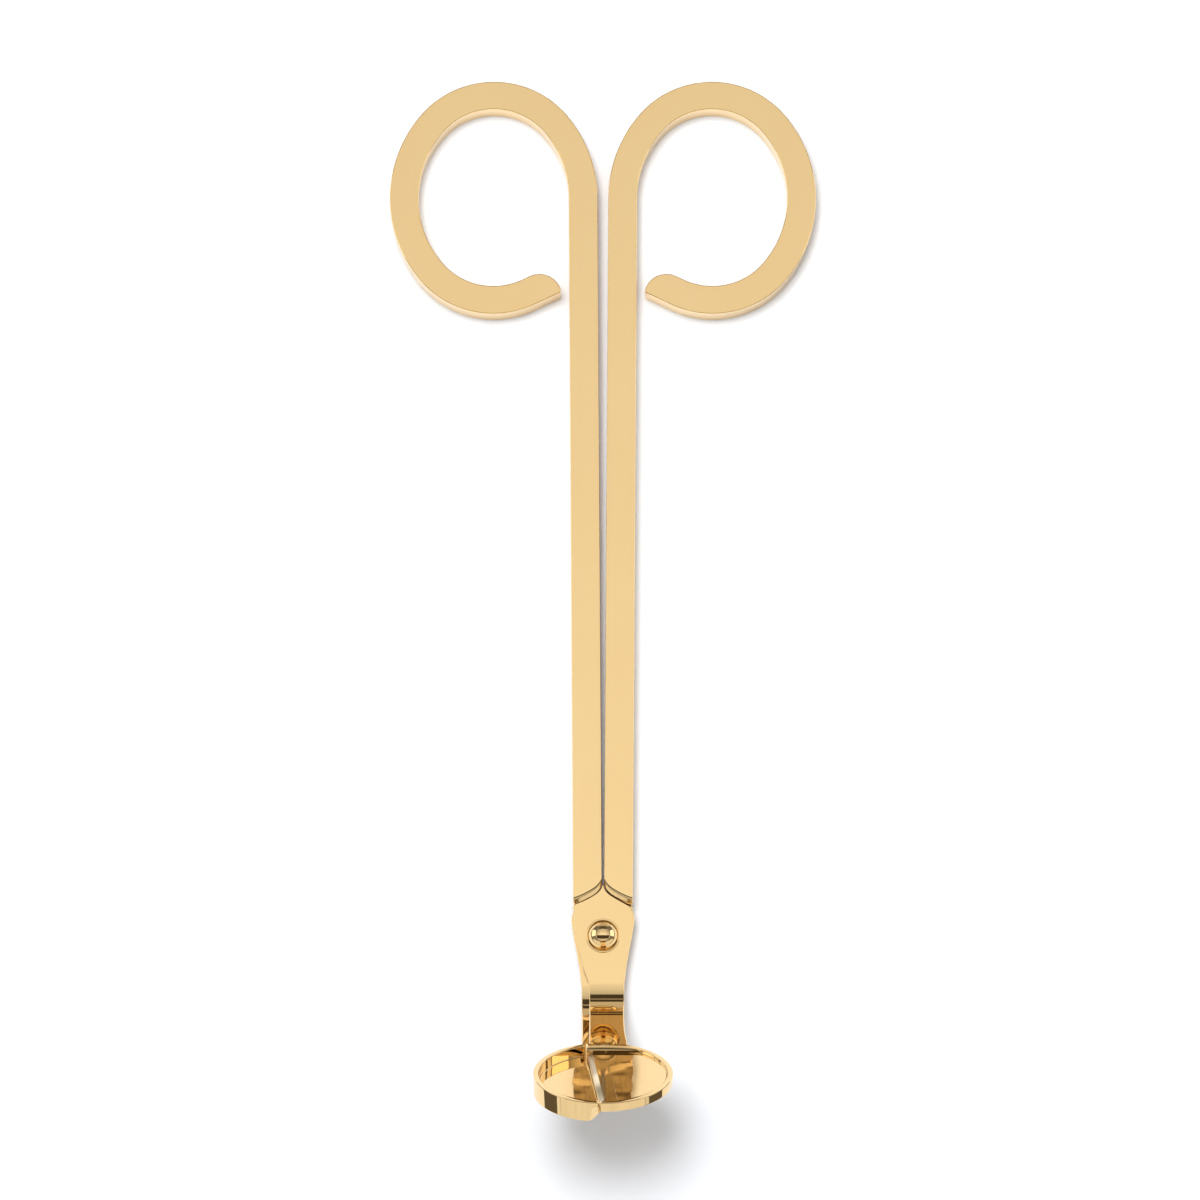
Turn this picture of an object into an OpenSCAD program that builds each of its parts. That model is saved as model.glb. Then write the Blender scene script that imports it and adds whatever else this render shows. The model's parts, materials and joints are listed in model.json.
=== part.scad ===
// Wick trimmer: two crossed levers on one pivot, each a bent bar handle with an
// oval finger loop, a lapped jaw that curves up, and half of a round catch tray.
// It lies on its back: +Z is up, +Y runs from the tray to the finger loops.
// Every module is drawn with the pivot axis at x = y = 0 and the table at z = 0.

/* [Handles] */
// Thickness of the handle bars
bar_t = 4.6; // [4.2:0.1:5.2]
// Width of the bar round the finger loop
loop_bar_w = 5; // [4.6:0.1:5.4]
// Width of the bar at the shoulder, next to the pivot
shank_end_w = 4.85; // [4.4:0.05:5]
// From the pivot to the middle of the finger loops
loop_reach = 129.2; // [100:0.2:150]
// Half width of the loop's centreline
loop_half_w = 15.5; // [14.8:0.1:17]
// Half height of the loop's centreline
loop_half_h = 18.3; // [17:0.1:20]
// Radius of the loop's tight ends
loop_end_r = 13.9; // [13:0.1:14.4]
// Half of the gap between the two handles at the loops
gap_at_loops = 0.95; // [0.5:0.05:2]
// Half of the gap between the two handles at the shoulders
gap_at_shoulders = 0.2; // [0.2:0.05:0.5]

/* [Jaws] */
// Thickness of the jaw plates
plate_t = 1.6; // [1.4:0.1:1.8]
// Gap between the two jaws, which the friction washer fills
plate_gap = 0.25; // [0.25:0.05:0.4]
// Inside radius of the front jaw's bend
bend_r = 6.6; // [6:0.1:8]
// Angle that the jaws bend through
bend_angle = 57; // [50:1:65]
// From the pivot to the start of the bend
bend_start = 8.1; // [8:0.1:10]
// Flat length between the bend and the tray
flat_run = 11.7; // [8:0.1:12]

/* [Tray] */
// Outside radius of the tray
tray_r = 11.55; // [10:0.05:13]
// Thickness of the tray's rim
rim_t = 0.95; // [0.8:0.05:1.4]
// Depth of the right half, from rim to floor
right_depth = 0.6; // [0.5:0.05:1.1]
// Width of the bevel ground on the upper blade
bevel_w = 0.75; // [0.4:0.05:0.9]
// Width of each blade strip
blade_w = 3.0; // [2.4:0.1:3.4]

/* [Pivot] */
// Radius of the sleeve that both jaws turn on
sleeve_r = 1.8; // [1.6:0.1:2]
// Radius of the screw's domed head
dome_r = 2.7; // [2.3:0.1:2.8]

/* [Hidden] */
$fn = 96;
eps = 0.01;
arc_step = 3;

gold = "goldenrod";
pale_gold = "khaki";

// Heights of the stack at the pivot, from the table up
recess = (bar_t - 2 * plate_t - plate_gap) / 2;
rear_z = recess;
front_z = recess + plate_t + plate_gap;
front_top = front_z + plate_t;

// The loop's centreline is four arcs: two ends of loop_end_r and two sides of side_r
side_r = (pow(loop_half_w, 2) + pow(loop_half_h, 2) - 2 * loop_half_h * loop_end_r)
         / (2 * (loop_half_w - loop_end_r));
join_angle = atan2(loop_half_h - loop_end_r, side_r - loop_half_w);
loop_x = -(gap_at_loops + loop_bar_w / 2 + loop_half_w);
tip_angle = 296;
tip_len = 5.1;
tip_start = 1.4;
tip_r = (pow(loop_bar_w, 2) + pow(tip_len - tip_start, 2)) / (2 * loop_bar_w);

// The end of a handle bar, from its inside edge to its outside edge
shank_out = gap_at_shoulders + shank_end_w;
shoulder = [[-gap_at_shoulders, 7.75], [-0.8, 7.2], [-shank_out, 5.35]];
shoulder_dir = shoulder[2] - shoulder[1];
shoulder_slope = atan2(-shoulder_dir[1], -shoulder_dir[0]);
shoulder_run = 1.0;

// The neck of a jaw, which sits off the middle, towards its own half of the tray.
// Only the front jaw's neck widens at the tray.
neck_in = 2.3;
neck_out = 3.55;
neck_flare = 4.4;
flare_start = -16;

// The tray's frame: its origin is the tray's centre in the plane of the rim
bend_centre = [-bend_start, front_top + bend_r];
tray_back = flat_run + tray_r;
tray_y = bend_centre[0] - bend_r * sin(bend_angle) - tray_back * cos(bend_angle);
tray_z = bend_centre[1] - bend_r * cos(bend_angle) + tray_back * sin(bend_angle);
right_floor = -plate_t;
left_floor_top = right_floor - plate_gap;
left_floor = left_floor_top - plate_t;
floor_t = plate_t - right_depth;

// The cut between the halves: x at the back and at the front of the tray
cut_back = -2.9;
cut_front = -0.4;
rim_clear = 0.35;
lower_cut_front = -0.45;
lower_bevel_w = 2.0;
lower_edge_t = 0.35;
blade_raise = 0.1;

// Pivot hardware
running_clear = 0.05;
washer_t = 0.25;
screw_r = 1.25;
sleeve_head_r = 3.0;
sleeve_head_t = 0.5;
washer_r = 2.9;
friction_washer_r = 4.2;
slot_w = 0.6;

// The origin is the middle of the whole part's length, on the table
part_back = loop_reach + loop_half_h + loop_bar_w / 2;
part_front = tray_y - tray_r * cos(bend_angle) + left_floor * sin(bend_angle);
pivot_y = -(part_back + part_front) / 2;

module place() {
    translate([0, pivot_y, 0]) children();
}

module in_tray() {
    translate([0, tray_y, tray_z]) rotate([-bend_angle, 0, 0]) children();
}

// Points on an arc of radius r about c, from angle a0 to a1, arc_step or less apart
function arc(c, r, a0, a1) = let (n = ceil(abs(a1 - a0) / arc_step))
    [for (i = [0:n]) c + r * [cos(a0 + (a1 - a0) * i / n), sin(a0 + (a1 - a0) * i / n)]];

// The loop's edge at a distance of off outside its centreline, from the bar round to the tip
function loop_edge(off) = let (
    centre = [loop_x, loop_reach],
    side_shift = [side_r - loop_half_w, 0],
    end_shift = [0, loop_half_h - loop_end_r])
    concat(
        arc(centre - side_shift, side_r + off, 0, join_angle),
        arc(centre + end_shift, loop_end_r + off, join_angle, 180 - join_angle),
        arc(centre + side_shift, side_r + off, 180 - join_angle, 180 + join_angle),
        arc(centre - end_shift, loop_end_r + off, 180 + join_angle, tip_angle));

// The end of the loop: a straight length whose inside corner is rounded away
function loop_tip() = let (
    out = [cos(tip_angle), sin(tip_angle)],
    along = [-out[1], out[0]],
    inner = [loop_x, loop_reach - loop_half_h + loop_end_r]
            + (loop_end_r - loop_bar_w / 2) * out + tip_start * along,
    sweep = acos(1 - loop_bar_w / tip_r))
    [for (p = arc([tip_r, 0], tip_r, 180 - sweep, 180)) inner + p[0] * out + p[1] * along];

function reversed(list) = [for (i = [len(list) - 1:-1:0]) list[i]];

// The outline of a handle: up the inside edge of the bar, round the loop and back down
module handle_outline() {
    polygon(concat(
        [shoulder[0]],
        loop_edge(loop_bar_w / 2),
        loop_tip(),
        reversed(loop_edge(-loop_bar_w / 2)),
        [shoulder[2], shoulder[1]]));
}

// A wedge that slopes the bar's end down to the jaw plate, for one face of the bar
module shoulder_slope_cut() {
    fall = atan2(recess, shoulder_run);
    for (end = [[shoulder[1], shoulder_slope], [shoulder[0], 45]])
        translate([end[0][0], end[0][1], front_top]) rotate([0, 0, end[1]])
            rotate([fall, 0, 0]) translate([-12, -3, 0]) cube([16, 12, 4]);
}

// The part of a jaw that is let into its handle
module tang() {
    translate([-4.4, 3, 0]) cube([3.4, 15, plate_t]);
}

module handle() {
    difference() {
        linear_extrude(bar_t) handle_outline();
        intersection() {
            shoulder_slope_cut();
            translate([-8, 4, 0]) cube([8, 8, bar_t + 1]);
        }
        translate([0, 0, bar_t]) mirror([0, 0, 1]) intersection() {
            shoulder_slope_cut();
            translate([-8, 4, 0]) cube([8, 8, bar_t + 1]);
        }
    }
}

module left_handle() {
    color(gold) difference() {
        handle();
        translate([0, 0, front_z]) tang();
    }
}

module right_handle() {
    color(gold) difference() {
        mirror([1, 0, 0]) handle();
        mirror([1, 0, 0]) translate([0, 0, rear_z]) tang();
    }
}

// The flat lap of a jaw with its tang: handle to the left, tray half to the right
module lap() {
    linear_extrude(plate_t) polygon([
        shoulder[0], shoulder[1], shoulder[2], [-4.65, 0.5], [-neck_in, -bend_start],
        [neck_out, -bend_start], [4.1, -5.5], [4.75, -1], [5.35, 2.6], [5.3, 3.6],
        [5.05, 4.4], [4.5, 5], [0.9, 6.5], [0.5, 6.9], [0, 7.75]]);
    intersection() {
        tang();
        linear_extrude(plate_t) polygon([
            shoulder[1] - [0, eps], shoulder[2] - [0, eps], [-shank_out, 20], [-0.8, 20]]);
    }
}

// The side view of a jaw's neck, bent to an inside radius of r: y is along x here
module neck_side(r) {
    along = [-cos(bend_angle), sin(bend_angle)];
    inner = arc(bend_centre, r, 270, 270 - bend_angle);
    outer = arc(bend_centre, r + plate_t, 270 - bend_angle, 270);
    run = (flat_run + 2) * along;
    polygon(concat(
        [inner[0] + [1, 0]],
        inner,
        [inner[len(inner) - 1] + run, outer[0] + run],
        outer,
        [outer[len(outer) - 1] + [1, 0]]));
}

// The neck of a jaw, hollowed to fit the outside wall of the tray, with a foot width of foot
module neck(r, foot) {
    difference() {
        intersection() {
            translate([-10, 0, 0]) rotate([90, 0, 90]) linear_extrude(20) neck_side(r);
            linear_extrude(40) polygon([
                [-neck_in, 1], [neck_out, 1], [neck_out, flare_start],
                [foot, tray_y], [-neck_in, tray_y]]);
        }
        in_tray() translate([0, 0, -9]) cylinder(r = tray_r, h = 18);
    }
}

module front_jaw() {
    color(gold) difference() {
        union() {
            translate([0, 0, front_z]) lap();
            neck(bend_r, neck_flare);
        }
        translate([0, 0, front_z - 1]) cylinder(r = sleeve_r + running_clear, h = plate_t + 2);
    }
}

module rear_jaw() {
    color(gold) difference() {
        union() {
            translate([0, 0, rear_z]) mirror([1, 0, 0]) lap();
            mirror([1, 0, 0]) neck(bend_r + plate_t + plate_gap, neck_out);
        }
        translate([0, 0, rear_z - 1]) cylinder(r = sleeve_r, h = plate_t + 2);
    }
}

// The ground part of the tray to the left of a line from [xb, tray_r] to [xf, -tray_r].
// The cut face leans to the right by lean for each unit of height above z0.
module left_of(xb, xf, z0, lean) {
    turn = atan2(xb - xf, 2 * tray_r);
    translate([(xb + xf) / 2, 0, z0]) rotate([0, 0, -turn]) rotate([0, atan(lean), 0])
        translate([-60, -40, -40]) cube([60, 80, 80]);
}

// The strip of a half's floor, w wide, on the side s of its cut line
module along_cut(xb, xf, w, s) {
    turn = atan2(xb - xf, 2 * tray_r);
    translate([(xb + xf) / 2, 0, -20]) rotate([0, 0, -turn])
        translate([s > 0 ? -eps : -w, -20, 0]) cube([w + eps, 40, 40]);
}

// The right half before the blade is taken out of it. Only its floor is bevelled.
module right_half() {
    difference() {
        translate([0, 0, right_floor]) cylinder(r = tray_r, h = plate_t);
        translate([0, 0, right_floor + floor_t]) cylinder(r = tray_r - rim_t, h = plate_t);
        left_of(cut_back, cut_front, right_floor, 0);
        intersection() {
            left_of(cut_back, cut_front, right_floor, bevel_w / floor_t);
            translate([0, 0, right_floor - 1]) cylinder(r = tray_r - rim_t, h = plate_t + 2);
        }
    }
}

module right_tray() {
    color(gold) in_tray() difference() {
        right_half();
        intersection() {
            along_cut(cut_back, cut_front, blade_w, 1);
            translate([0, 0, right_floor - 1]) cylinder(r = tray_r + 1, h = 1 + floor_t);
        }
    }
}

module upper_blade() {
    color(pale_gold) in_tray() intersection() {
        right_half();
        along_cut(cut_back, cut_front, blade_w, 1);
        translate([0, 0, right_floor]) cylinder(r = tray_r + 1, h = floor_t);
    }
}

// The left half's floor, which runs on under the right half as far as its edge
module left_floor_plate() {
    intersection() {
        translate([0, 0, left_floor]) cylinder(r = tray_r, h = plate_t);
        left_of(-cut_back, lower_cut_front, left_floor_top, 0);
    }
}

module left_tray() {
    color(gold) in_tray() {
        difference() {
            left_floor_plate();
            along_cut(-cut_back, lower_cut_front, blade_w, -1);
        }
        difference() {
            intersection() {
                translate([0, 0, left_floor]) cylinder(r = tray_r, h = -left_floor);
                left_of(cut_back - rim_clear, cut_front - rim_clear, 0, 0);
            }
            translate([0, 0, left_floor - 1]) cylinder(r = tray_r - rim_t, h = 1 - left_floor + 1);
            intersection() {
                along_cut(-cut_back, lower_cut_front, blade_w, -1);
                translate([0, 0, left_floor - 1])
                    cylinder(r = tray_r + 1, h = 1 + plate_t + blade_raise);
            }
        }
    }
}

module lower_blade() {
    bevel_lean = lower_bevel_w / (plate_t - lower_edge_t);
    color(pale_gold) in_tray() intersection() {
        translate([0, 0, left_floor]) cylinder(r = tray_r, h = plate_t + blade_raise);
        along_cut(-cut_back, lower_cut_front, blade_w, -1);
        left_of(-cut_back, lower_cut_front, left_floor_top, 0);
        left_of(-cut_back, lower_cut_front, left_floor_top - lower_edge_t, bevel_lean);
    }
}

module ring(r0, r1, z, h) {
    translate([0, 0, z]) difference() {
        cylinder(r = r1, h = h);
        translate([0, 0, -1]) cylinder(r = r0, h = h + 2);
    }
}

module pivot_sleeve() {
    sleeve_top = front_top + running_clear;
    head_z = recess - sleeve_head_t;
    color(pale_gold) difference() {
        union() {
            translate([0, 0, recess]) cylinder(r = sleeve_r, h = sleeve_top - recess);
            translate([0, 0, head_z]) cylinder(r = sleeve_head_r, h = sleeve_head_t);
        }
        translate([0, 0, recess + 0.5]) cylinder(r = screw_r, h = sleeve_top);
        translate([-sleeve_head_r - 1, -slot_w / 2, head_z - 1])
            cube([2 * sleeve_head_r + 2, slot_w, 1.25]);
    }
}

module pivot_screw() {
    head_z = front_top + running_clear + washer_t;
    color(pale_gold) {
        translate([0, 0, recess + 0.8]) cylinder(r = screw_r, h = head_z - recess - 0.8 + eps);
        intersection() {
            translate([0, 0, head_z - 0.1]) sphere(r = dome_r);
            translate([0, 0, head_z]) cylinder(r = dome_r + 1, h = dome_r + 1);
        }
    }
}

module head_washer() {
    color(gold) ring(screw_r, washer_r, front_top + running_clear, washer_t);
}

module friction_washer() {
    color("tan") ring(sleeve_r, friction_washer_r, rear_z + plate_t, washer_t);
}

place() left_handle();
place() right_handle();
place() front_jaw();
place() rear_jaw();
place() right_tray();
place() left_tray();
place() upper_blade();
place() lower_blade();
place() pivot_sleeve();
place() pivot_screw();
place() head_washer();
place() friction_washer();
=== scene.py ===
import json

import bpy
import numpy as np
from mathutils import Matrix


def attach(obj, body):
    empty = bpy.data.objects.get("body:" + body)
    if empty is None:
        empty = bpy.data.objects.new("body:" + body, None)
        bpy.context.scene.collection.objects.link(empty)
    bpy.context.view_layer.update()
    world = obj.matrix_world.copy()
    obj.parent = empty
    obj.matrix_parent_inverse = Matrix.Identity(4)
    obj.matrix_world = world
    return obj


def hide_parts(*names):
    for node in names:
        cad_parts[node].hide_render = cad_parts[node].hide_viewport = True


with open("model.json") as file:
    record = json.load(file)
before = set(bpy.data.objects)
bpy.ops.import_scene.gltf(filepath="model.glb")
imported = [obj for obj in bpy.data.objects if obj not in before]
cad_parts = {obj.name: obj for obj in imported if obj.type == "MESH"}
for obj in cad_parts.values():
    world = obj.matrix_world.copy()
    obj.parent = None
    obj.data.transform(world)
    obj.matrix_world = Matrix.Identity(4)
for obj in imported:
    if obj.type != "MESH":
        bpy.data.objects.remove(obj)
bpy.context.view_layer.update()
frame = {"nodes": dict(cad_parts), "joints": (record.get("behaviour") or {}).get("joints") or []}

# ---- Sizes, in millimetres, with the pivot axis at x = y = 0 and the table at z = 0 ----

MM = 0.001
pivot_joint = next(joint for joint in frame["joints"] if joint["name"] == "pivot")
PIVOT = np.array([0.0, pivot_joint["pos_m"][1] / MM, 0.0])

BAR_THICKNESS = 4.6
BAR_WIDTH = 4.98
BAR_EDGE = 0.17
LOOP_REACH = 129.2
LOOP_HALF_WIDTH = 15.5
LOOP_HALF_HEIGHT = 18.3
LOOP_END_RADIUS = 13.9
LOOP_GAP = 0.95
SHOULDER_GAP = 0.2
SHOULDER_OUT = 5.05
SHOULDER_RUN = 0.95
# The bar's end is an ogee, from its outside edge to a peak at its inside edge
SHOULDER = np.array([
    [-SHOULDER_OUT, 5.35], [-4.1, 5.7], [-3.1, 6.15], [-2.2, 6.65], [-1.4, 7.15], [-0.85, 7.65],
    [-0.45, 8.2], [-SHOULDER_GAP, 8.8]])
TIP_ANGLE = 296.0
TIP_START = 1.4
TIP_LENGTH = 5.1

PLATE = 1.6
PLATE_GAP = 0.25
PLATE_EDGE = 0.2
RECESS = (BAR_THICKNESS - 2 * PLATE - PLATE_GAP) / 2
FRONT_TOP = RECESS + 2 * PLATE + PLATE_GAP
BEND_RADIUS = 6.6
BEND_ANGLE = np.radians(57.0)
BEND_START = 8.1
FLAT_RUN = 11.7

TRAY_RADIUS = 11.55
RIM = 0.95
RIM_EDGE = 0.12
RIGHT_BOTTOM = -PLATE
RIGHT_FLOOR = RIGHT_BOTTOM + 1.15
LEFT_FLOOR = RIGHT_BOTTOM - PLATE_GAP
LEFT_BOTTOM = LEFT_FLOOR - PLATE
LEDGE = 8.6
LEDGE_BLEND = 0.2
LEDGE_OVERLAP = 0.6
# A ledge line beyond the tray, for the half that has no ledge
NO_LEDGE = 20.0
CUT_BACK = -2.9
CUT_FRONT = -0.4
LOWER_CUT_FRONT = -0.45
RIM_CLEAR = 0.35
BEVEL_LAND = 0.75
BEVEL_LEAN = 2.0
UNDER_BEVEL_LAND = 0.35
UNDER_BEVEL_LEAN = 1.5
BLADE_WIDTH = 3.0
# How far the floors and blades run into the walls, and stay above their undersides
WALL_OVERLAP = 0.5
UNDERSIDE_STEP = 0.02
# The left half's bottom corner in front is rounded, fading in over a short way
CORNER_RADIUS = 2.4
CORNER_START = -8.0
CORNER_FADE = 1.5

DOME_RADIUS = 2.7
WASHER_RADIUS = 2.9
WASHER_BOTTOM = FRONT_TOP + 0.05
WASHER_TOP = WASHER_BOTTOM + 0.25

# The tray's own frame: its middle, in the plane of the rim, tilted with the necks
BEND_CENTRE = np.array([-BEND_START, FRONT_TOP + BEND_RADIUS])
TRAY_BACK = FLAT_RUN + TRAY_RADIUS
TRAY_MIDDLE = np.array([
    0.0,
    BEND_CENTRE[0] - BEND_RADIUS * np.sin(BEND_ANGLE) - TRAY_BACK * np.cos(BEND_ANGLE),
    BEND_CENTRE[1] - BEND_RADIUS * np.cos(BEND_ANGLE) + TRAY_BACK * np.sin(BEND_ANGLE),
])


# ---- Making meshes ----

def ring_faces(rows, columns, closed_rows=False):
    """Quads of a grid whose every row is a closed ring of points."""
    row = np.arange(rows if closed_rows else rows - 1)[:, None]
    column = np.arange(columns)[None, :]
    next_row = (row + 1) % rows
    next_column = (column + 1) % columns
    corners = [
        row * columns + column,
        row * columns + next_column,
        next_row * columns + next_column,
        next_row * columns + column,
    ]
    return np.stack(corners, axis=-1).reshape(-1, 4).tolist()


def closed_tube(rings):
    """A stack of rings, shape (rows, columns, 3), with a flat face closing each end."""
    rows, columns = rings.shape[:2]
    ends = [list(range(columns))[::-1], list(range((rows - 1) * columns, rows * columns))]
    return rings.reshape(-1, 3), ring_faces(rows, columns) + ends


def join_shells(*shells):
    """Several closed shells as one set of points and faces."""
    points = []
    faces = []
    start = 0
    for shell_points, shell_faces in shells:
        points.append(shell_points)
        faces += [[index + start for index in face] for face in shell_faces]
        start += len(shell_points)
    return np.concatenate(points), faces


def add_piece(name, body, nodes, shell, material):
    """Put a shell, in millimetres from the pivot, into the scene as a piece that rides a body."""
    points, faces = shell
    mesh = bpy.data.meshes.new(name)
    mesh.from_pydata(((points + PIVOT) * MM).tolist(), [], faces)
    mesh.materials.append(material)
    turn_outwards(mesh)
    mesh.polygons.foreach_set("use_smooth", np.ones(len(mesh.polygons), bool))
    mesh.update()
    piece = bpy.data.objects.new(name, mesh)
    bpy.context.scene.collection.objects.link(piece)
    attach(piece, body)
    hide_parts(*nodes)
    return piece


def paint_bevel_sheen(piece, material):
    """Give a second, paler gold to the faces whose outward normal leans left: a painted sheen."""
    mesh = piece.data
    mesh.materials.append(material)
    normals = np.zeros(len(mesh.polygons) * 3, np.float32)
    mesh.polygons.foreach_get("normal", normals)
    leans_left = normals.reshape(-1, 3)[:, 0] < -0.3
    mesh.polygons.foreach_set("material_index", leans_left.astype(np.int32))
    mesh.update()


def turn_outwards(mesh):
    """Flip every face if the volume, summed over triangles as a . (b x c) / 6, is negative."""
    mesh.calc_loop_triangles()
    corners = np.zeros(len(mesh.loop_triangles) * 3, np.int32)
    mesh.loop_triangles.foreach_get("vertices", corners)
    points = np.zeros(len(mesh.vertices) * 3, np.float32)
    mesh.vertices.foreach_get("co", points)
    a, b, c = points.reshape(-1, 3)[corners.reshape(-1, 3)].transpose(1, 0, 2)
    if np.einsum("ij,ij->", a, np.cross(b, c)) < 0:
        mesh.flip_normals()


# ---- Outlines and plates ----

def arc(centre, radius, start, stop, step=2.0):
    """Points on a circle about centre, from start to stop in degrees."""
    count = int(np.ceil(abs(stop - start) / step)) + 1
    angle = np.radians(np.linspace(start, stop, count))
    return np.asarray(centre) + radius * np.column_stack([np.cos(angle), np.sin(angle)])


def soften(outline, radius, limit=20.0, steps=6):
    """Round each corner that turns by more than limit degrees.

    A corner P with A and C a radius away along its two edges becomes the curve
    (1 - t)^2 A + 2 t (1 - t) P + t^2 C, with one more point on each edge just beyond it.
    """
    to_last = np.roll(outline, 1, axis=0) - outline
    to_next = np.roll(outline, -1, axis=0) - outline
    last_length = np.linalg.norm(to_last, axis=1, keepdims=True)
    next_length = np.linalg.norm(to_next, axis=1, keepdims=True)
    to_last = to_last / last_length
    to_next = to_next / next_length
    turn = 180 - np.degrees(np.arccos(np.clip((to_last * to_next).sum(1), -1, 1)))
    sharp = (turn > limit)[:, None]
    cut_last = np.where(sharp, np.minimum(radius, 0.4 * last_length), 0)
    cut_next = np.where(sharp, np.minimum(radius, 0.4 * next_length), 0)
    a = outline + to_last * cut_last
    c = outline + to_next * cut_next
    t = np.linspace(0, 1, steps)[None, :, None]
    curve = (1 - t) ** 2 * a[:, None] + 2 * t * (1 - t) * outline[:, None] + t ** 2 * c[:, None]
    before = (outline + to_last * cut_last * 1.15)[:, None]
    after = (outline + to_next * cut_next * 1.15)[:, None]
    points = np.concatenate([before, curve, after], axis=1)
    kept = np.broadcast_to(sharp, points.shape[:2]).copy()
    kept[:, 1] = True
    return points[kept]


def inset(outline, distance):
    """Move a closed, anticlockwise outline inwards by distance, mitred at each point."""
    along = np.roll(outline, -1, axis=0) - outline
    along = along / np.linalg.norm(along, axis=1, keepdims=True)
    inwards = np.column_stack([-along[:, 1], along[:, 0]])
    last_inwards = np.roll(inwards, 1, axis=0)
    mitre = (inwards + last_inwards) / (1 + (inwards * last_inwards).sum(1, keepdims=True))
    return outline + distance * mitre


def edge_levels(low, high, radius, steps=5, support=0.03):
    """Heights and insets up the side of a plate whose two edges are quarter rounds."""
    quarter = np.linspace(0, np.pi / 2, steps)
    rise = radius * (1 - np.cos(quarter))
    reach = radius * (1 - np.sin(quarter))
    height = np.concatenate([
        [low], low + rise, [low + radius + support],
        [high - radius - support], high - rise[::-1], [high]])
    distance = np.concatenate([
        [radius + support], reach, [0],
        [0], reach[::-1], [radius + support]])
    return height, distance


# Heights of extra rings round a kink in a plate's side, which keep it crisp
KINK = np.array([-0.06, -0.02, 0.02, 0.06])


def plate(outline_at, low, high, radius, extra=()):
    """A flat plate: its outline at each height, carried up from low to high with round edges."""
    height, distance = edge_levels(low, high, radius)
    height = np.concatenate([height, extra])
    distance = np.concatenate([distance, np.zeros(len(extra))])
    order = np.lexsort((np.where(height > (low + high) / 2, distance, -distance), height))
    rings = [
        np.column_stack([inset(outline_at(z), d), np.full(len(outline_at(z)), z)])
        for z, d in zip(height[order], distance[order])
    ]
    return closed_tube(np.stack(rings))


# ---- Handles ----

def handle_outline(shift):
    """A left handle seen from above: the bar, the oval loop of four arcs and the pointed tip.

    The bar's end at the shoulder is moved along the bar by shift.
    """
    w = LOOP_HALF_WIDTH
    h = LOOP_HALF_HEIGHT
    r = LOOP_END_RADIUS
    side = (w ** 2 + h ** 2 - 2 * h * r) / (2 * (w - r))
    join = np.degrees(np.arctan2(h - r, side - w))
    middle = np.array([-(LOOP_GAP + BAR_WIDTH / 2 + w), LOOP_REACH])
    across = np.array([side - w, 0.0])
    up = np.array([0.0, h - r])

    def edge(off):
        return np.concatenate([
            arc(middle - across, side + off, 0, join),
            arc(middle + up, r + off, join, 180 - join)[1:],
            arc(middle + across, side + off, 180 - join, 180 + join)[1:],
            arc(middle - up, r + off, 180 + join, TIP_ANGLE)[1:],
        ])

    tip = np.radians(TIP_ANGLE)
    out = np.array([np.cos(tip), np.sin(tip)])
    along = np.array([-out[1], out[0]])
    rise = TIP_LENGTH - TIP_START
    round_radius = (BAR_WIDTH ** 2 + rise ** 2) / (2 * BAR_WIDTH)
    sweep = np.degrees(np.arccos(1 - BAR_WIDTH / round_radius))
    corner = arc([round_radius, 0], round_radius, 180 - sweep, 180, step=14.0)
    inner = middle - up + (r - BAR_WIDTH / 2) * out + TIP_START * along
    tip_points = inner + corner[:, :1] * out + corner[:, 1:] * along
    moved = SHOULDER + [0.0, shift]
    outline = np.concatenate([edge(BAR_WIDTH / 2), tip_points, edge(-BAR_WIDTH / 2)[::-1], moved])
    return soften(outline, 0.5)


def handle(side):
    """One handle: the outline carried up through the bar, with a sloped shoulder at each face."""
    def outline_at(z):
        outside = max(z - FRONT_TOP, RECESS - z, 0.0)
        return handle_outline(outside / RECESS * SHOULDER_RUN)

    kinks = [*RECESS + KINK, *FRONT_TOP + KINK]
    points, faces = plate(outline_at, 0.0, BAR_THICKNESS, BAR_EDGE, kinks)
    return points * [side, 1, 1], faces


# ---- Jaws ----

# Left and right edges of the front jaw, against the distance from the pivot along the plate
JAW_LEFT = np.array([
    [-8.8, -0.05], [-8.2, -0.3], [-7.65, -0.7], [-7.15, -1.25], [-6.65, -2.05], [-6.15, -2.95],
    [-5.7, -3.95], [-5.3, -5.1], [-0.5, -4.65], [1.0, -4.5], [3.7, -3.85],
    [6.0, -3.3], [8.1, -2.5], [9.8, -2.3], [40.0, -2.3]])
JAW_RIGHT = np.array([
    [-8.8, 0.05], [-8.2, 0.25], [-7.6, 0.6], [-7.1, 1.1], [-6.6, 1.85], [-6.1, 2.7],
    [-5.6, 3.6], [-5.1, 4.5], [-4.4, 5.05], [-3.6, 5.3], [-2.6, 5.35], [0.3, 4.9],
    [2.5, 4.45], [5.5, 3.95], [8.6, 3.6], [40.0, 3.55]])
# The front jaw's right edge also flares at the tray, by this much
JAW_FLARE = np.array([[17.0, 0.0], [21.5, 0.12], [24.0, 0.3], [25.6, 0.5], [40.0, 0.7]])


def smooth_edge(table, distance, reach=0.25):
    """The edge at each distance, with its corners blurred by averaging over a short reach."""
    steps = np.linspace(-reach, reach, 9)
    spread = distance[:, None] + steps[None, :]
    return np.interp(spread, table[:, 0], table[:, 1]).mean(axis=1)


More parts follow.
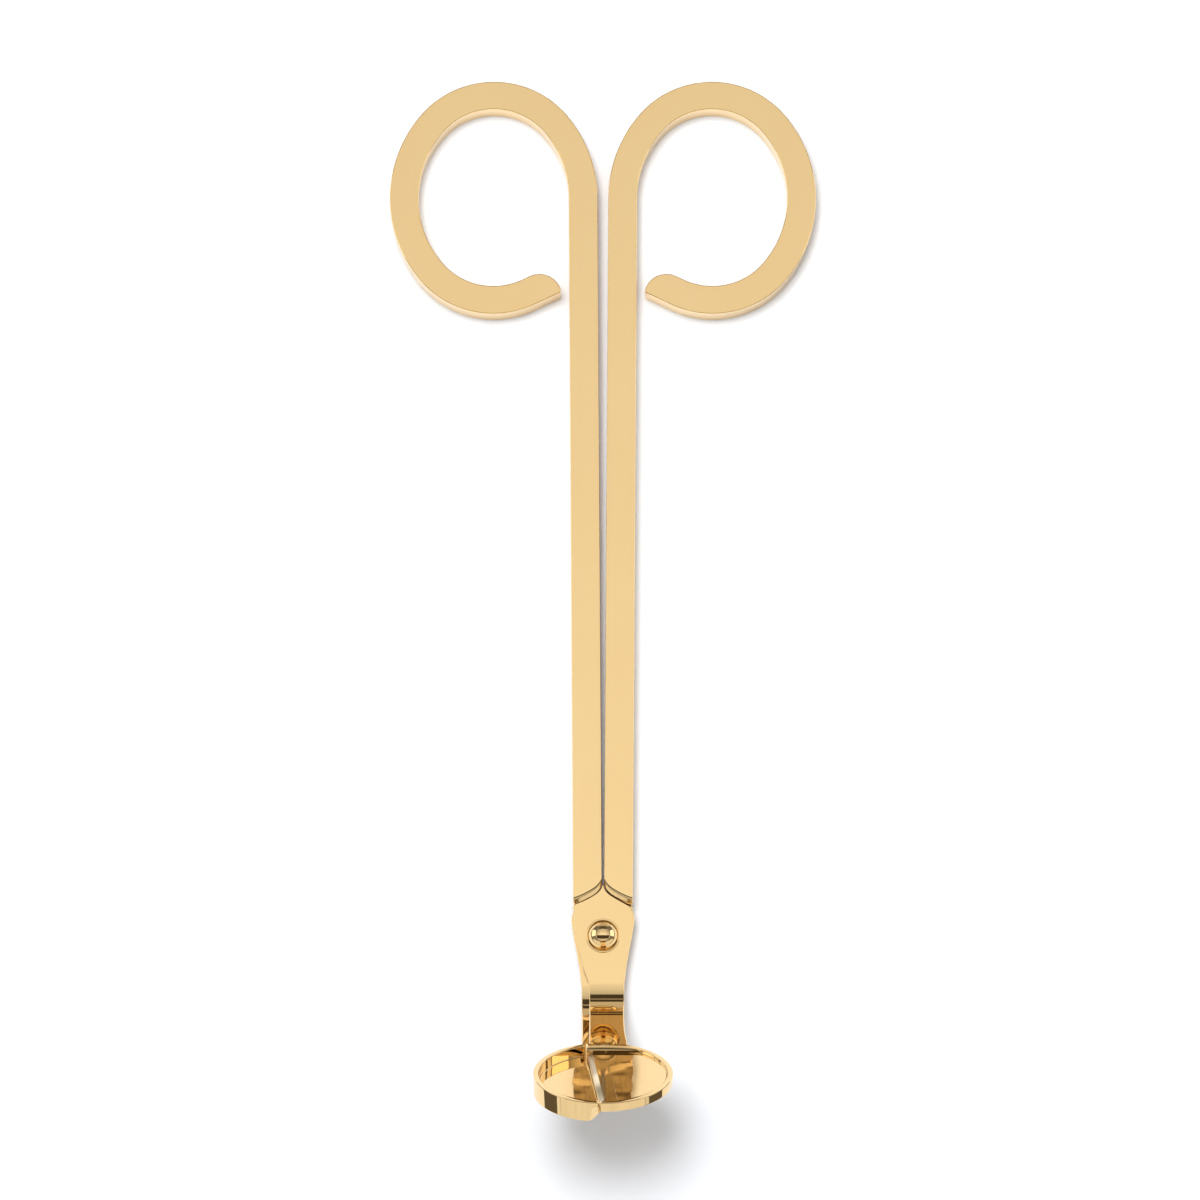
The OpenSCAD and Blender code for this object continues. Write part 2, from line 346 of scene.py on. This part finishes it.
def jaw(side, radius, low, flare):
    """One jaw: a rounded-edge strip carried along a flat, a bend and a straight.

    Along the strip, distance s runs from the peak under the shoulders to the tray. Before
    the bend a point at height h is at (y, z) = (-s, low + h). In the bend it is at
    radius + thickness - h from the bend's centre, turned by (s - start) / radius.
    After the bend it runs on in a straight line.
    """
    bend_end = BEND_START + radius * BEND_ANGLE
    end = bend_end + FLAT_RUN + 1.0
    s = np.unique(np.concatenate([
        np.linspace(-8.78, -4.0, 50),
        np.linspace(-4.0, BEND_START, 40),
        np.linspace(BEND_START, bend_end, 40),
        np.linspace(bend_end, end, 40),
    ]).round(6))
    height, distance = edge_levels(0.0, PLATE, PLATE_EDGE)
    ring_height = np.concatenate([height, height[::-1]])
    ring_inset = np.concatenate([distance, distance[::-1]])
    on_right = np.arange(len(ring_height)) < len(height)
    left = smooth_edge(JAW_LEFT, s)[:, None]
    right = (smooth_edge(JAW_RIGHT, s) + flare * smooth_edge(JAW_FLARE, s))[:, None]
    room = np.minimum(1, (right - left) / (3 * PLATE_EDGE))
    x = np.where(on_right, right - ring_inset * room, left + ring_inset * room)
    turn = np.clip((s - BEND_START) / radius, 0, BEND_ANGLE)[:, None]
    flat = (np.minimum(s, BEND_START) - BEND_START)[:, None]
    run = np.maximum(s - bend_end, 0)[:, None]
    from_centre = radius + PLATE - ring_height[None, :]
    y = -BEND_START - flat - from_centre * np.sin(turn) - run * np.cos(turn)
    z = low + PLATE + radius - from_centre * np.cos(turn) + run * np.sin(turn)
    return closed_tube(np.stack([side * x, y + 0 * x, z + 0 * x], axis=-1))


# ---- Tray ----

def cut_line(back, front):
    """The slope of a cut across the tray, and its signed distance from the middle."""
    lean = (back - front) / (2 * TRAY_RADIUS)
    alpha = np.arctan(lean)
    return alpha, (back + front) / 2 * np.cos(alpha)


def into_place(points):
    """Tilt points from the tray's own frame about X and move them to the tray's middle."""
    x, y, z = points.T
    c = np.cos(BEND_ANGLE)
    s = np.sin(BEND_ANGLE)
    return np.column_stack([x, y * c + z * s, z * c - y * s]) + TRAY_MIDDLE


def round_front_corner(points, cut, bottom):
    """Lift the bottom in a quarter round where the left half's wall meets its cut in front."""
    x, y, z = points.T
    fade = np.clip((CORNER_START - y) / CORNER_FADE, 0, 1)
    r = CORNER_RADIUS * fade
    near = np.clip(r - (cut - x), 0, r)
    low = bottom + r - np.sqrt(np.maximum(r ** 2 - near ** 2, 0))
    return np.column_stack([x, y, np.maximum(z, np.minimum(low, bottom + PLATE + 0.1))])


def rim(side, back, front, floor, bottom):
    """The wall of a tray half: its section carried round from one end of the cut to the other.

    A section point at radius p ends where p cos(angle + alpha) equals the cut's distance.
    Behind the ledge line the inner points slide forwards, which makes the wide ledge.
    """
    quarter = np.linspace(0, np.pi / 2, 5)
    soft = 0.15
    outer = [
        (TRAY_RADIUS - RIM_EDGE * (1 - np.sin(quarter)), bottom + RIM_EDGE * (1 - np.cos(quarter))),
        (np.full(2, TRAY_RADIUS), np.array([bottom + RIM_EDGE + 0.03, -RIM_EDGE - 0.03])),
        (TRAY_RADIUS - RIM_EDGE * (1 - np.cos(quarter)), -RIM_EDGE * (1 - np.sin(quarter))),
    ]
    inner_radius = TRAY_RADIUS - RIM
    inner = [
        (inner_radius + RIM_EDGE * (1 - np.sin(quarter)), -RIM_EDGE * (1 - np.cos(quarter))),
        (np.full(2, inner_radius), np.array([-RIM_EDGE - 0.03, floor + soft + 0.03])),
        (inner_radius - soft * (1 - np.cos(quarter)), floor + soft * (1 - np.sin(quarter))),
        (np.full(2, inner_radius - soft - 0.03), np.array([floor - 0.05, bottom])),
    ]
    p = np.concatenate([part[0] for part in outer + inner])
    z = np.concatenate([part[1] for part in outer + inner])
    is_inner = np.arange(len(p)) >= sum(len(part[0]) for part in outer)
    alpha, distance = cut_line(back, front)
    reach = np.arccos(np.clip(distance / p, -1, 1))
    if side > 0:
        start, stop = -alpha - reach, -alpha + reach
    else:
        start, stop = -alpha + reach, 2 * np.pi - alpha - reach
    u = np.linspace(0, 1, 121)[:, None]
    angle = start + (stop - start) * u
    x = p * np.cos(angle)
    y = p * np.sin(angle)
    over = (y - LEDGE) / LEDGE_BLEND
    ledge_y = y - LEDGE_BLEND * np.log1p(np.exp(np.clip(over, -30, 30)))
    ledge_y = np.where(is_inner & (side > 0), ledge_y, y)
    x = x + np.tan(alpha) * (ledge_y - y)
    return closed_tube(np.stack([x, ledge_y, z + 0 * x], axis=-1))


def half_disc(side, radius, back, front, ledge):
    """A half disc beside the cut: the straight edge of the cut and an arc of the circle."""
    alpha, distance = cut_line(back, front)
    reach = np.arccos(distance / radius)
    if side > 0:
        start, stop = -alpha - reach, -alpha + reach
    else:
        start, stop = -alpha + reach, 2 * np.pi - alpha - reach
    outline = arc([0, 0], radius, np.degrees(start), np.degrees(stop))
    moved = np.minimum(outline[:, 1], ledge)
    return np.column_stack([outline[:, 0] + np.tan(alpha) * (moved - outline[:, 1]), moved])


def strip_outline(side, radius, back, front, width, ledge, shift=0.0):
    """The blade's strip of the floor, from the cut to a parallel line width away."""
    alpha, distance = cut_line(back, front)
    lines = np.array([distance + shift, distance + side * width])
    across = np.array([np.cos(alpha), -np.sin(alpha)])
    along = np.array([np.sin(alpha), np.cos(alpha)])
    ends = np.sqrt(radius ** 2 - lines ** 2)
    back_ends = np.minimum(ends, (ledge - lines * across[1]) / along[1])
    corners = np.array([
        lines[0] * across - ends[0] * along,
        lines[1] * across - ends[1] * along,
        lines[1] * across + back_ends[1] * along,
        lines[0] * across + back_ends[0] * along,
    ])
    return corners if side > 0 else corners[::-1]


def floor_outline(side, radius, back, front, width, ledge):
    """The rest of the floor: the half disc beyond the blade's strip."""
    alpha, _ = cut_line(back, front)
    move = side * width / np.cos(alpha)
    return half_disc(side, radius, back + move, front + move, ledge)


def right_half():
    """The shallow right half: its wall, wide behind, and its floor beyond the blade."""
    wall = rim(1, CUT_BACK, CUT_FRONT, RIGHT_FLOOR, RIGHT_BOTTOM)
    radius = TRAY_RADIUS - WALL_OVERLAP
    outline = floor_outline(1, radius, CUT_BACK, CUT_FRONT, BLADE_WIDTH, LEDGE + LEDGE_OVERLAP)
    floor = plate(lambda z: outline, RIGHT_BOTTOM + UNDERSIDE_STEP, RIGHT_FLOOR, 0.005)
    points, faces = join_shells(wall, floor)
    return into_place(points), faces


def left_half():
    """The deep left half: its wall, and its floor as far as the blade under the right half."""
    back = CUT_BACK - RIM_CLEAR
    front = CUT_FRONT - RIM_CLEAR
    wall_points, wall_faces = rim(-1, back, front, LEFT_FLOOR, LEFT_BOTTOM)
    radius = TRAY_RADIUS - WALL_OVERLAP
    outline = floor_outline(-1, radius, -CUT_BACK, LOWER_CUT_FRONT, BLADE_WIDTH, NO_LEDGE)
    floor = plate(lambda z: outline, LEFT_BOTTOM + UNDERSIDE_STEP, LEFT_FLOOR, 0.005)
    points, faces = join_shells((wall_points, wall_faces), floor)
    points = round_front_corner(points, front, LEFT_BOTTOM)
    return into_place(points), faces


def upper_blade():
    """The right half's cutting strip, ground back from its edge as it rises."""
    def outline_at(z):
        shift = BEVEL_LEAN * max(z - RIGHT_BOTTOM - BEVEL_LAND, 0.0)
        return strip_outline(
            1, TRAY_RADIUS - WALL_OVERLAP, CUT_BACK, CUT_FRONT, BLADE_WIDTH,
            LEDGE + LEDGE_OVERLAP, shift)

    kinks = RIGHT_BOTTOM + BEVEL_LAND + KINK
    points, faces = plate(outline_at, RIGHT_BOTTOM + UNDERSIDE_STEP, RIGHT_FLOOR, 0.005, kinks)
    return into_place(points), faces


def lower_blade():
    """The left half's cutting strip, ground back from its edge on its underside."""
    def outline_at(z):
        shift = -UNDER_BEVEL_LEAN * max(LEFT_FLOOR - UNDER_BEVEL_LAND - z, 0.0)
        return strip_outline(
            -1, TRAY_RADIUS - 0.05, -CUT_BACK, LOWER_CUT_FRONT, BLADE_WIDTH, NO_LEDGE, shift)

    kinks = LEFT_FLOOR - UNDER_BEVEL_LAND + KINK
    points, faces = plate(outline_at, LEFT_BOTTOM + UNDERSIDE_STEP, LEFT_FLOOR, 0.005, kinks)
    points = round_front_corner(points, CUT_FRONT - RIM_CLEAR, LEFT_BOTTOM)
    return into_place(points), faces


# ---- Pivot ----

def turned(radius, height, sides=96):
    """A profile of radius against height, turned about the pivot axis, flat at both ends."""
    angle = np.linspace(0, 2 * np.pi, sides, endpoint=False)
    rings = np.stack([
        radius[:, None] * np.cos(angle),
        radius[:, None] * np.sin(angle),
        height[:, None] + 0 * angle,
    ], axis=-1)
    return closed_tube(rings)


def dome():
    """The screw's head: part of a ball on a short straight collar, with its shank below."""
    low = WASHER_TOP - 0.1
    angle = np.linspace(np.arcsin(0.1 / DOME_RADIUS), np.pi / 2 - 0.01, 40)
    radius = np.concatenate([[1.25, 1.25, DOME_RADIUS - 0.06], DOME_RADIUS * np.cos(angle)])
    collar = [RECESS + 0.8, WASHER_TOP, WASHER_TOP]
    height = np.concatenate([collar, low + DOME_RADIUS * np.sin(angle)])
    return turned(radius, height)


def washer():
    """The thin ring under the dome, with a rounded outside edge and a bore for the screw."""
    height, distance = edge_levels(WASHER_BOTTOM, WASHER_TOP, 0.08)
    radius = np.concatenate([WASHER_RADIUS - distance, [1.26, 1.26]])
    height = np.concatenate([height, [WASHER_TOP, WASHER_BOTTOM]])
    angle = np.linspace(0, 2 * np.pi, 96, endpoint=False)[:, None]
    rings = np.stack([radius * np.cos(angle), radius * np.sin(angle), height + 0 * angle], axis=-1)
    return rings.reshape(-1, 3), ring_faces(96, len(radius), closed_rows=True)


# ---- Materials ----

def linear(hex_colour):
    """An sRGB hex colour as linear red, green, blue and alpha."""
    srgb = np.array([int(hex_colour[i:i + 2], 16) for i in (1, 3, 5)]) / 255
    value = np.where(srgb <= 0.04045, srgb / 12.92, ((srgb + 0.055) / 1.055) ** 2.4)
    return (*value.tolist(), 1.0)


def add_node(tree, kind, settings=None, links=None):
    """Add a node. Settings name its inputs or its own properties; links feed its inputs."""
    node = tree.nodes.new(kind)
    for name, value in (settings or {}).items():
        if name in node.inputs:
            node.inputs[name].default_value = value
        else:
            setattr(node, name, value)
    for name, source in (links or {}).items():
        tree.links.new(source, node.inputs[name])
    return node


def new_material(name):
    """An empty material with its output, and the object's coordinates in metres."""
    material = bpy.data.materials.new(name)
    material.use_nodes = True
    tree = material.node_tree
    tree.nodes.clear()
    place = add_node(tree, "ShaderNodeTexCoord").outputs["Object"]
    return material, tree, place


def finish_material(tree, shader):
    """Send a shader to the material's surface."""
    add_node(tree, "ShaderNodeOutputMaterial", links={"Surface": shader.outputs[0]})


def plated_gold(name, gold, deep_gold, smooth, rough, grain, wave, wave_height, line_height):
    """Gold-toned plating over polished steel, a near mirror in a warm yellow.

    grain is the size of a polishing line along x, y and z in millimetres, wave is the
    spacing of the slow ripple that hand polishing leaves, and the heights are in millimetres.
    """
    material, tree, place = new_material(name)
    tone = add_node(
        tree, "ShaderNodeTexNoise", {"Scale": 1 / (18 * MM), "Detail": 2.0}, {"Vector": place})
    colour = add_node(tree, "ShaderNodeMix", {"data_type": "RGBA"})
    colour.inputs[6].default_value = linear(gold)
    colour.inputs[7].default_value = linear(deep_gold)
    tree.links.new(tone.outputs["Fac"], colour.inputs[0])
    lines_at = add_node(
        tree, "ShaderNodeMapping", {"Scale": [1 / (size * MM) for size in grain]}, {"Vector": place})
    lines = add_node(
        tree, "ShaderNodeTexNoise", {"Scale": 1.0, "Detail": 3.0}, {"Vector": lines_at.outputs[0]})
    gloss = add_node(
        tree, "ShaderNodeMapRange",
        {"From Min": 0.35, "From Max": 0.7, "To Min": smooth, "To Max": rough},
        {"Value": lines.outputs["Fac"]})
    ripple = add_node(
        tree, "ShaderNodeTexNoise", {"Scale": 1 / (wave * MM), "Detail": 1.0}, {"Vector": place})
    rippled = add_node(
        tree, "ShaderNodeBump", {"Strength": 1.0, "Distance": wave_height * MM},
        {"Height": ripple.outputs["Fac"]})
    lined = add_node(
        tree, "ShaderNodeBump", {"Strength": 1.0, "Distance": line_height * MM},
        {"Height": lines.outputs["Fac"], "Normal": rippled.outputs[0]})
    shader = add_node(
        tree, "ShaderNodeBsdfPrincipled", {"Metallic": 1.0},
        {"Base Color": colour.outputs[2], "Roughness": gloss.outputs[0], "Normal": lined.outputs[0]})
    finish_material(tree, shader)
    return material


def nylon_sheet():
    """Punched nylon sheet, dull and faintly mottled, between the jaws."""
    material, tree, place = new_material("nylon_sheet")
    mottle = add_node(
        tree, "ShaderNodeTexNoise", {"Scale": 1 / (0.6 * MM), "Detail": 4.0}, {"Vector": place})
    colour = add_node(tree, "ShaderNodeMix", {"data_type": "RGBA"})
    colour.inputs[6].default_value = linear("#CDBB98")
    colour.inputs[7].default_value = linear("#B9A47E")
    tree.links.new(mottle.outputs["Fac"], colour.inputs[0])
    bump = add_node(
        tree, "ShaderNodeBump", {"Strength": 0.4, "Distance": 0.01 * MM},
        {"Height": mottle.outputs["Fac"]})
    shader = add_node(
        tree, "ShaderNodeBsdfPrincipled", {"IOR": 1.53, "Roughness": 0.5},
        {"Base Color": colour.outputs[2], "Normal": bump.outputs[0]})
    finish_material(tree, shader)
    return material


GOLD = "#F8D89E"
DEEP_GOLD = "#F6D296"

# Square bar, polished along its length: fine lines run along the bar
bar_gold = plated_gold(
    "polished_gold_bar", GOLD, DEEP_GOLD, 0.05, 0.11, (0.25, 9, 0.25), 7, 0.004, 0.0001)
# Thin plate, buffed before it was plated: the clearest mirror on the tool
plate_gold = plated_gold(
    "buffed_gold_plate", GOLD, DEEP_GOLD, 0.03, 0.07, (0.3, 5, 0.3), 6, 0.012, 0.0001)
# Pressed and plated tray: its floor ripples a little more than the plates
tray_gold = plated_gold(
    "pressed_gold_tray", GOLD, DEEP_GOLD, 0.03, 0.07, (0.6, 0.6, 0.6), 5, 0.045, 0.0001)
# Ground strip, plated over the marks of the stone: fine lines across the edge, a little less clear
blade_gold = plated_gold(
    "ground_gold_edge", GOLD, DEEP_GOLD, 0.04, 0.09, (2, 0.2, 0.2), 5, 0.012, 0.0002)
# Turned screw, sleeve and washer, polished on the lathe: a clear, even mirror
screw_gold = plated_gold(
    "turned_gold_screw", GOLD, DEEP_GOLD, 0.03, 0.06, (0.4, 0.4, 3), 3, 0.001, 0.0001)
# Face ground on a stone, soft and without clear reflections; its paler colour is a painted sheen
bevel_painted_sheen = plated_gold(
    "ground_bevel_sheen_gold", "#FFF0D2", "#FFE9C2", 0.32, 0.4, (0.1, 2, 0.1), 5, 0.002, 0.0005)
nylon = nylon_sheet()

# ---- The pieces ----

LEFT = "left_lever"
RIGHT = "right_lever"
add_piece("left_bar", LEFT, ["left_handle"], handle(1), bar_gold)
add_piece("right_bar", RIGHT, ["right_handle"], handle(-1), bar_gold)
add_piece("front_plate", LEFT, ["front_jaw"], jaw(1, BEND_RADIUS, RECESS + PLATE + PLATE_GAP, 1),
          plate_gold)
add_piece("rear_plate", RIGHT, ["rear_jaw"], jaw(-1, BEND_RADIUS + PLATE + PLATE_GAP, RECESS, 0),
          plate_gold)
add_piece("right_cup", LEFT, ["right_tray"], right_half(), tray_gold)
add_piece("left_cup", RIGHT, ["left_tray"], left_half(), tray_gold)
upper_edge = add_piece("upper_edge", LEFT, ["upper_blade"], upper_blade(), blade_gold)
# The left-leaning bevel gets a paler gold: a painted sheen on the ground face
paint_bevel_sheen(upper_edge, bevel_painted_sheen)
add_piece("lower_edge", RIGHT, ["lower_blade"], lower_blade(), blade_gold)
add_piece("screw_dome", RIGHT, ["pivot_screw"], dome(), screw_gold)
add_piece("screw_washer", RIGHT, ["head_washer"], washer(), screw_gold)

for node_name, material in {"pivot_sleeve": screw_gold, "friction_washer": nylon}.items():
    for material_slot in frame["nodes"][node_name].material_slots:
        material_slot.material = material

# ---- Floor, light and camera ----

def white_paper():
    """Smooth white studio paper, dull, with a faint tooth."""
    material, tree, place = new_material("white_paper")
    tooth = add_node(
        tree, "ShaderNodeTexNoise", {"Scale": 1 / (1.2 * MM), "Detail": 3.0}, {"Vector": place})
    bump = add_node(
        tree, "ShaderNodeBump", {"Strength": 0.2, "Distance": 0.02 * MM},
        {"Height": tooth.outputs["Fac"]})
    shader = add_node(
        tree, "ShaderNodeBsdfPrincipled",
        {"Base Color": linear("#F4F7FC"), "Roughness": 0.9, "Specular IOR Level": 0.1},
        {"Normal": bump.outputs[0]})
    finish_material(tree, shader)
    return material


def painted_reflection_glow(name, tint, low, high):
    """Glow for the flags and cards that only the gold mirrors, a painted reflection; it runs from low to
    high.
    """
    material, tree, place = new_material(name)
    glow_mottle = add_node(tree, "ShaderNodeTexNoise", {"Scale": 1 / (4 * MM), "Detail": 2.0}, {"Vector": place})
    glow = add_node(
        tree, "ShaderNodeMapRange", {"To Min": low, "To Max": high}, {"Value": glow_mottle.outputs["Fac"]})
    shader = add_node(
        tree, "ShaderNodeEmission", {"Color": linear(tint)}, {"Strength": glow.outputs[0]})
    finish_material(tree, shader)
    return material


def bright_silk(name, strength):
    """White silk over a window, a little uneven from fold to fold."""
    material, tree, place = new_material(name)
    weave = add_node(
        tree, "ShaderNodeTexNoise", {"Scale": 1 / (60 * MM), "Detail": 1.0}, {"Vector": place})
    glow = add_node(
        tree, "ShaderNodeMapRange", {"To Min": 0.9 * strength, "To Max": 1.1 * strength},
        {"Value": weave.outputs["Fac"]})
    shader = add_node(tree, "ShaderNodeEmission", links={"Strength": glow.outputs[0]})
    finish_material(tree, shader)
    return material


def sheet_at(name, corners, material, mirrored_only):
    """A flat four-cornered sheet of the studio, in metres.

    A mirrored-only sheet shows in the metal's reflections and neither lights nor shades the floor.
    """
    mesh = bpy.data.meshes.new(name)
    mesh.from_pydata(corners, [], [[0, 1, 2, 3]])
    mesh.materials.append(material)
    sheet = bpy.data.objects.new(name, mesh)
    bpy.context.scene.collection.objects.link(sheet)
    sheet.visible_camera = not mirrored_only
    sheet.visible_shadow = not mirrored_only
    sheet.visible_diffuse = not mirrored_only


def upright(name, x0, x1, y, z0, z1, material):
    """A sheet that stands across the studio at y, in metres."""
    sheet_at(name, [(x0, y, z0), (x1, y, z0), (x1, y, z1), (x0, y, z1)], material, True)


def level(name, x0, x1, y0, y1, z, material):
    """A level sheet at height z, in metres."""
    sheet_at(name, [(x0, y0, z), (x1, y0, z), (x1, y1, z), (x0, y1, z)], material, True)


def soft_light(name, place, aim, size, strength):
    """A white soft box at place that faces aim, in metres; strength in watts.

    The metal doesn't mirror it: it lights the floor and casts the shadow.
    """
    light = bpy.data.lights.new(name, "AREA")
    light.shape = "RECTANGLE"
    light.size, light.size_y = size
    light.energy = strength
    lamp = bpy.data.objects.new(name, light)
    lamp.location = place
    direction = np.array(aim) - np.array(place)
    yaw = np.arctan2(direction[0], -direction[1])
    tilt = np.arctan2(np.hypot(direction[0], direction[1]), -direction[2])
    lamp.rotation_euler = (-tilt, 0, yaw + np.pi)
    lamp.visible_glossy = False
    bpy.context.scene.collection.objects.link(lamp)
    return lamp


def studio_sky():
    """The bright tent round the tool: paler overhead, dimmer behind and towards the horizon."""
    world = bpy.data.worlds.new("studio_tent")
    world.use_nodes = True
    tree = world.node_tree
    tree.nodes.clear()
    place = add_node(tree, "ShaderNodeTexCoord").outputs["Generated"]
    axes = add_node(tree, "ShaderNodeSeparateXYZ", links={"Vector": place})
    rise = add_node(
        tree, "ShaderNodeMapRange",
        {"From Min": 0.5, "From Max": 0.95, "To Min": 0.22, "To Max": 1.0},
        {"Value": axes.outputs["Z"]})
    fall = add_node(
        tree, "ShaderNodeMapRange",
        {"From Min": 0.13, "From Max": 0.27, "To Min": 1.05, "To Max": 0.86},
        {"Value": axes.outputs["Y"]})
    both = add_node(
        tree, "ShaderNodeMath", {"operation": "MULTIPLY"}, {0: rise.outputs[0], 1: fall.outputs[0]})
    glow = add_node(tree, "ShaderNodeBackground", {"Strength": 1.0}, {"Color": both.outputs[0]})
    add_node(tree, "ShaderNodeOutputWorld", links={"Surface": glow.outputs[0]})
    bpy.context.scene.world = world


def add_camera():
    """A long lens well above the tool, a little to the tray's side of straight above."""
    aim = np.array([-0.0005, PIVOT[1] * MM + 0.0589, 0.0])
    elevation = np.radians(78.46)
    away = np.array([0.0, -np.cos(elevation), np.sin(elevation)])
    data = bpy.data.cameras.new("camera")
    data.lens = 199.0
    data.sensor_width = 36.0
    camera = bpy.data.objects.new("camera", data)
    camera.location = aim + 1.14 * away
    camera.rotation_euler = (np.pi / 2 - elevation, 0, 0)
    bpy.context.scene.collection.objects.link(camera)
    bpy.context.scene.camera = camera


sheet_at("floor", [(-3, -3, 0), (3, -3, 0), (3, 3, 0), (-3, 3, 0)], white_paper(), False)
# Faint glows for sheets that only the gold mirrors: painted dark and grey reflections
far_painted_dark = painted_reflection_glow("far_painted_dark", "#FFE9C8", 0.05, 0.08)
overhead_painted_dark = painted_reflection_glow("overhead_painted_dark", "#FFE9C8", 0.05, 0.09)
# Dark glow for the sheets lying on the floor beside the tool: painted shade in the gold's walls
floor_shade_glow = painted_reflection_glow("floor_shade_glow", "#FFF0DC", 0.10, 0.15)
far_painted_grey = painted_reflection_glow("far_painted_grey", "#FFF6EA", 0.55, 0.65)
window_silk = bright_silk("window_silk", 1.6)
front_silk = bright_silk("front_silk", 0.88)

# Glowing sheets seen only in the gold: painted dark bands from the far and overhead flags, painted grey
# from the far card
upright("low_far_flag", -0.5, 0.5, 0.75, 0.33, 0.485, far_painted_dark)
upright("high_far_flag", -0.5, 0.5, 0.75, 0.525, 0.88, far_painted_dark)
upright("far_card", -0.5, 0.5, 0.76, 0.01, 0.56, far_painted_grey)
upright("front_card", -1.6, 1.6, -0.7, 0.01, 0.46, front_silk)
level("overhead_flag", -1.5, 1.5, -0.95, -0.20, 1.45, overhead_painted_dark)
# On each side: a dark sheet on the floor that only the gold mirrors, painted shade of the floor, and a
# bright window
for side in (-1, 1):
    level("painted_floor_shade_sheet", side * 0.055, side * 0.25, -0.25, 0.0, 0.0002, floor_shade_glow)
    sheet_at("side_window", [(side * 1.0, -0.15, 0.05), (side * 1.0, 0.55, 0.05),
                             (side * 1.0, 0.55, 0.70), (side * 1.0, -0.15, 0.70)], window_silk, True)
studio_sky()
soft_light("key_box", (-0.16, 0.16, 1.1), (0, 0, 0), (0.42, 0.42), 9.0)
add_camera()
bpy.context.scene.view_settings.view_transform = "Standard"
